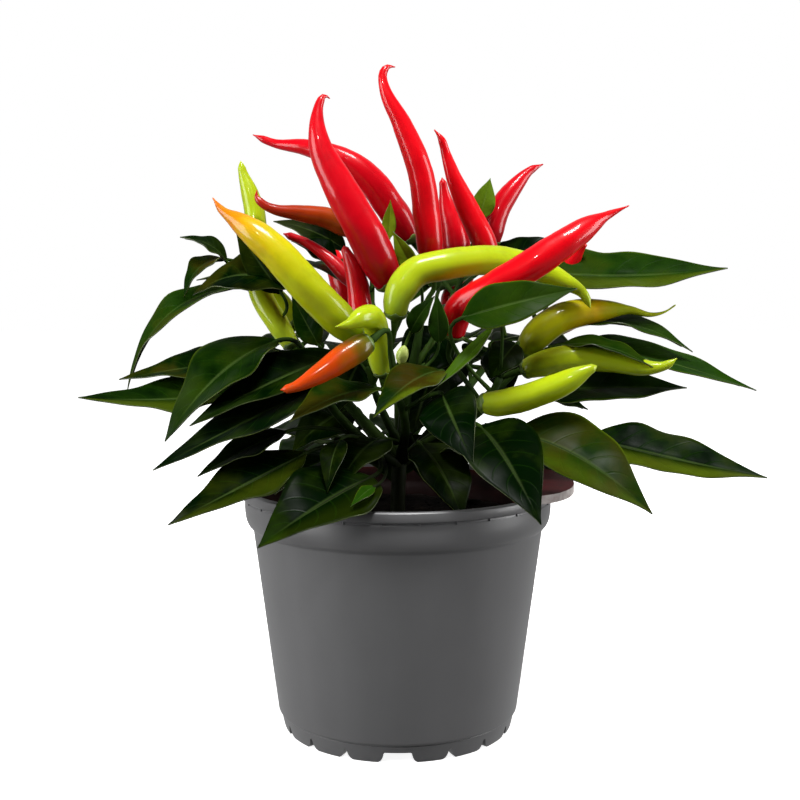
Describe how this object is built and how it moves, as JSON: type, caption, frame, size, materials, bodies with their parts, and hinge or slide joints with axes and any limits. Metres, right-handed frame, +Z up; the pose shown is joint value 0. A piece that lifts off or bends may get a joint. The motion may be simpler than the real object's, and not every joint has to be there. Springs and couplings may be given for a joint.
{
  "type": "potted chilli pepper plant",
  "caption": "Bushy chilli pepper plant with upright red, orange, olive and lime fruits above dark pointed leaves, in a grey tapered nursery pot with a reddish inner pot of peat.",
  "frame": {"origin": "middle of the plant's and pot's outline seen from above, level with the underside of the pot's feet", "axes": "+Z up along the pot, -Y towards the front that the picture shows, +X to the right of that view"},
  "size_m": [0.2732, 0.2118, 0.2723],
  "materials": {
    "pot_plastic": "satin grey moulded plastic",
    "grow_pot_plastic": "thin reddish-brown plastic",
    "peat": "dark damp peat, crumbly",
    "leaf": "waxy dark green leaf and stem",
    "red_skin": "glossy red fruit skin",
    "lime_skin": "glossy yellow-green fruit skin",
    "amber_skin": "glossy skin turning from lime to amber",
    "orange_skin": "glossy orange fruit skin",
    "olive_skin": "glossy olive-yellow fruit skin",
    "brown_skin": "glossy red-brown fruit skin",
    "bud_skin": "pale closed bud"
  },
  "bodies": {
    "root": {"pot": "pot_plastic", "grow_pot": "grow_pot_plastic", "soil": "peat", "leafy_plant": "leaf", "chilli_red_tall": "red_skin", "chilli_red_broad": "red_skin", "chilli_red_left_back": "red_skin", "chilli_red_right_upright": "red_skin", "chilli_red_right_behind": "red_skin", "chilli_red_right_short": "red_skin", "chilli_red_right_long": "red_skin", "chilli_red_right_low": "red_skin", "chilli_red_small_left": "red_skin", "chilli_red_left_behind": "red_skin", "chilli_red_back_left": "red_skin", "chilli_red_back_right": "red_skin", "chilli_brown_hooked": "brown_skin", "chilli_amber_long_left": "amber_skin", "chilli_orange_left_front": "orange_skin", "chilli_lime_left_steep": "lime_skin", "chilli_lime_arched": "lime_skin", "chilli_lime_curled": "lime_skin", "chilli_olive_right": "olive_skin", "chilli_lime_right_flat": "lime_skin", "chilli_lime_right_front": "lime_skin", "chilli_lime_back": "lime_skin", "chilli_orange_back": "orange_skin", "flower_bud": "bud_skin"}
  },
  "joints": []
}
